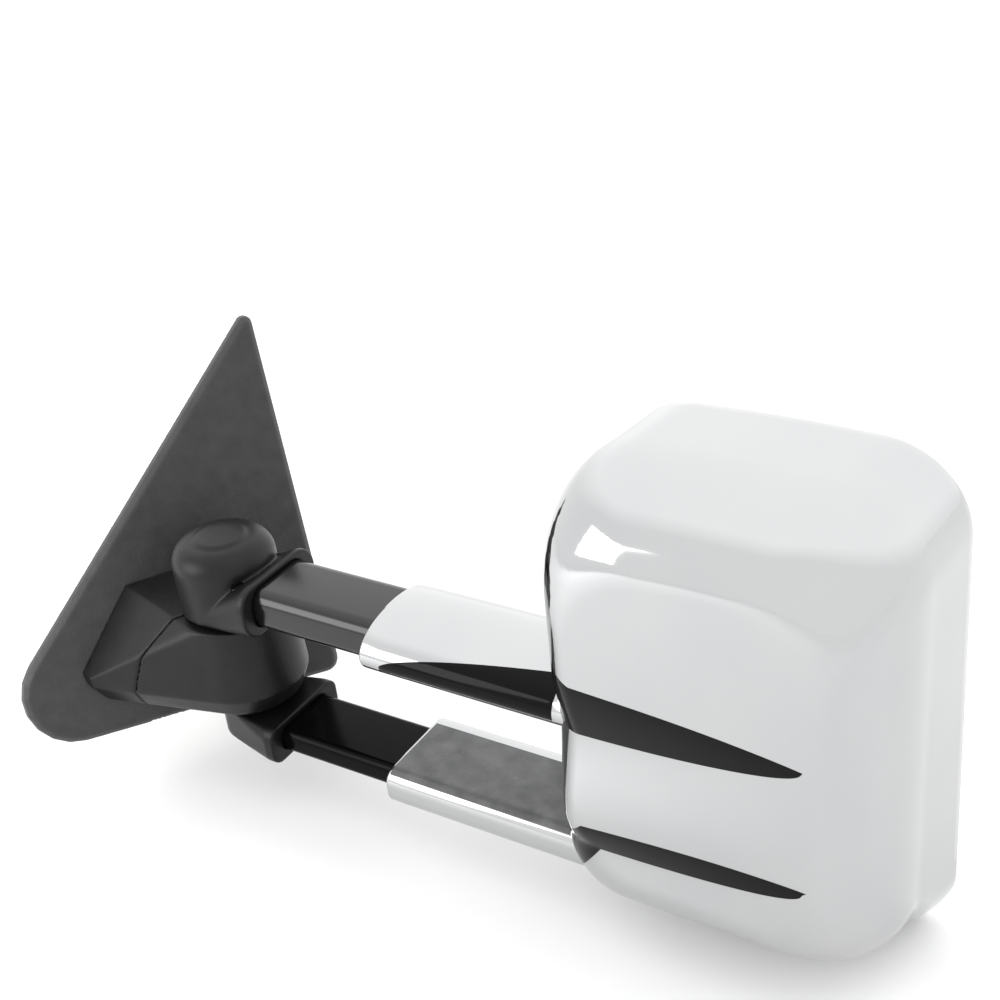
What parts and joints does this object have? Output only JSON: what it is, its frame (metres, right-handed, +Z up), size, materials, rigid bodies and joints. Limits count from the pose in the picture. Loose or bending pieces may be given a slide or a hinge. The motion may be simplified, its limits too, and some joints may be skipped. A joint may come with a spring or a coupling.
{
  "type": "folding telescoping car side mirror",
  "caption": "Folding, telescoping towing side mirror: sail-shaped door plate, hinge drum, twin slide arms and an upright head with a flat glass over a wide-angle glass.",
  "frame": {"origin": "on the door mounting face, at the bracket rim's cross rib, level with the middle of the bracket", "axes": "+X inboard towards the door, -X outboard along the arms, +Y vehicle forward, +Z up"},
  "size_m": [0.5336, 0.2073, 0.2795],
  "materials": {
    "textured_plastic": "satin, fine grain",
    "socket_plastic": "satin",
    "die_cast": "as cast",
    "gasket_foam": "matte",
    "zinc_stud": "yellow zinc plated",
    "black_plastic": "matte",
    "screw_steel": "zinc plated",
    "bush_acetal": "smooth",
    "gloss_tube": "gloss black powder coat",
    "chromed_plastic": "chrome plated",
    "bezel_plastic": "gloss",
    "glass_pad_foam": "matte",
    "mirror_glass": "silvered"
  },
  "bodies": {
    "base": {"sail_plate": "textured_plastic", "mount_bracket": "die_cast", "door_gasket": "gasket_foam", "stud_upper": "zinc_stud", "stud_front": "zinc_stud", "stud_rear": "zinc_stud", "locator_pin": "black_plastic", "base_housing": "textured_plastic", "hinge_drum_cover": "textured_plastic", "drum_cover_screws": "screw_steel", "bracket_screws": "screw_steel", "hinge_shaft": "screw_steel", "detent_plate": "screw_steel", "lower_hinge_spacer": "screw_steel", "hinge_spring": "screw_steel", "spring_washer": "screw_steel", "hinge_nut": "screw_steel"},
    "arms": {"upper_socket": "textured_plastic", "lower_socket": "socket_plastic", "detent_balls": "screw_steel", "upper_hinge_bush": "bush_acetal", "lower_hinge_bush": "bush_acetal", "upper_arm_tube": "gloss_tube", "lower_arm_tube": "gloss_tube", "arm_clamp_screws": "screw_steel", "upper_tube_plug": "black_plastic", "lower_tube_plug": "black_plastic"},
    "head": {"head_shell": "chromed_plastic", "upper_arm_sleeve": "chromed_plastic", "lower_arm_sleeve": "chromed_plastic", "upper_sleeve_bush": "black_plastic", "lower_sleeve_bush": "black_plastic", "head_frame": "black_plastic", "upper_tube_guide": "black_plastic", "lower_tube_guide": "black_plastic", "guide_screws": "screw_steel", "frame_screws": "screw_steel", "glass_bezel": "bezel_plastic"},
    "main_swivel": {"main_pivot": "screw_steel"},
    "main_mirror": {"main_glass_carrier": "black_plastic", "main_glass_pad": "glass_pad_foam", "main_glass": "mirror_glass"},
    "spot_swivel": {"spot_pivot": "screw_steel"},
    "spot_mirror": {"spot_glass_carrier": "black_plastic", "spot_glass_pad": "glass_pad_foam", "spot_glass": "mirror_glass"}
  },
  "joints": [
    {"name": "arm_fold", "type": "hinge", "parent": "base", "child": "arms", "pos_m": [-0.07114, 0.02162, 0.02512], "axis": [0, 0, 1], "range_deg": [-60, 50]},
    {"name": "head_extend", "type": "slide", "parent": "arms", "child": "head", "axis": [1, 0, 0], "range_m": [0, 0.08]},
    {"name": "main_glass_pan", "type": "hinge", "parent": "head", "child": "main_swivel", "pos_m": [-0.40114, -0.01538, 0.09352], "axis": [0, 0, 1], "range_deg": [-6, 6]},
    {"name": "main_glass_tilt", "type": "hinge", "parent": "main_swivel", "child": "main_mirror", "pos_m": [-0.40114, -0.01538, 0.09352], "axis": [1, 0, 0], "range_deg": [-6, 6]},
    {"name": "spot_glass_pan", "type": "hinge", "parent": "head", "child": "spot_swivel", "pos_m": [-0.40114, -0.01538, -0.04078], "axis": [0, 0, 1], "range_deg": [-6, 6]},
    {"name": "spot_glass_tilt", "type": "hinge", "parent": "spot_swivel", "child": "spot_mirror", "pos_m": [-0.40114, -0.01538, -0.04078], "axis": [1, 0, 0], "range_deg": [-6, 6]}
  ]
}
